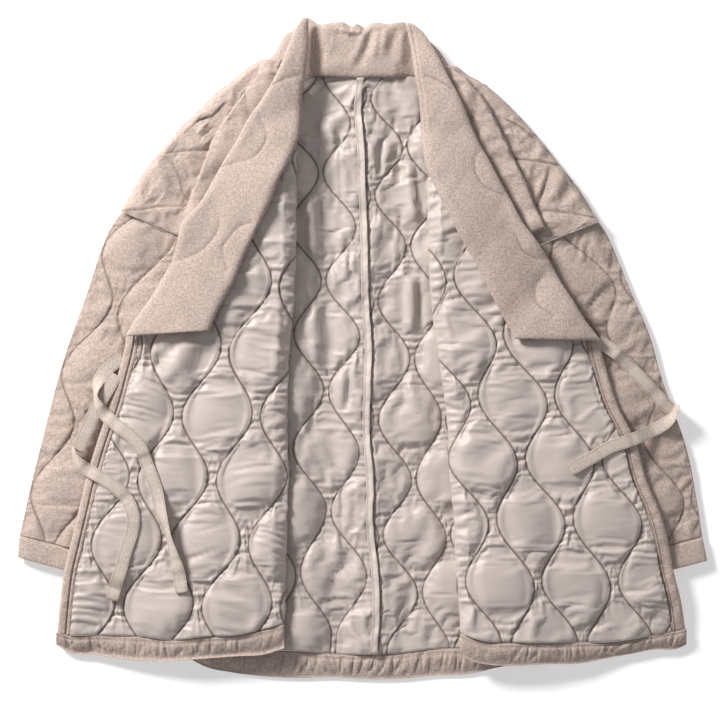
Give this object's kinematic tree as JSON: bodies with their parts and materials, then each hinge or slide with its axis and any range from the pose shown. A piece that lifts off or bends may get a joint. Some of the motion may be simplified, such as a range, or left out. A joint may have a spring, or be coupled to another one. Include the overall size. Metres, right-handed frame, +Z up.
{
  "type": "quilted wrap coat",
  "caption": "Wide onion-quilted wrap coat with a flat collar band, satin lining and tape ties, laid flat on its back with the fronts folded open.",
  "frame": {"origin": "on the floor, under the middle of the spread coat's box", "axes": "+Z up from the floor the coat lies on, +Y from the hem to the collar, +X to the right seen from above"},
  "size_m": [0.86, 0.8252, 0.0475],
  "materials": {
    "shell": "slub woven cotton and linen, padded, dusty pink beige",
    "lining": "soft satin, quilted with the shell",
    "binding": "folded bias strip, satin side out",
    "tape": "plain woven cotton, edges stitched"
  },
  "bodies": {
    "root": {"back_left": "lining", "back_right": "lining", "centre_back_binding": "binding", "shoulder_left": "shell", "shoulder_right": "shell", "front_left": "lining", "front_right": "lining", "front_edge_left": "shell", "front_edge_right": "shell", "sleeve_left": "shell", "sleeve_right": "shell", "cuff_left": "shell", "cuff_right": "shell", "collar_back": "shell", "band_left": "shell", "band_right": "shell", "hem_back": "shell", "hem_left": "shell", "hem_right": "shell", "tie_left_upper": "tape", "tie_left_lower": "tape", "tie_left_lower_end": "tape", "tie_right": "tape", "tie_right_end": "tape"}
  },
  "joints": []
}
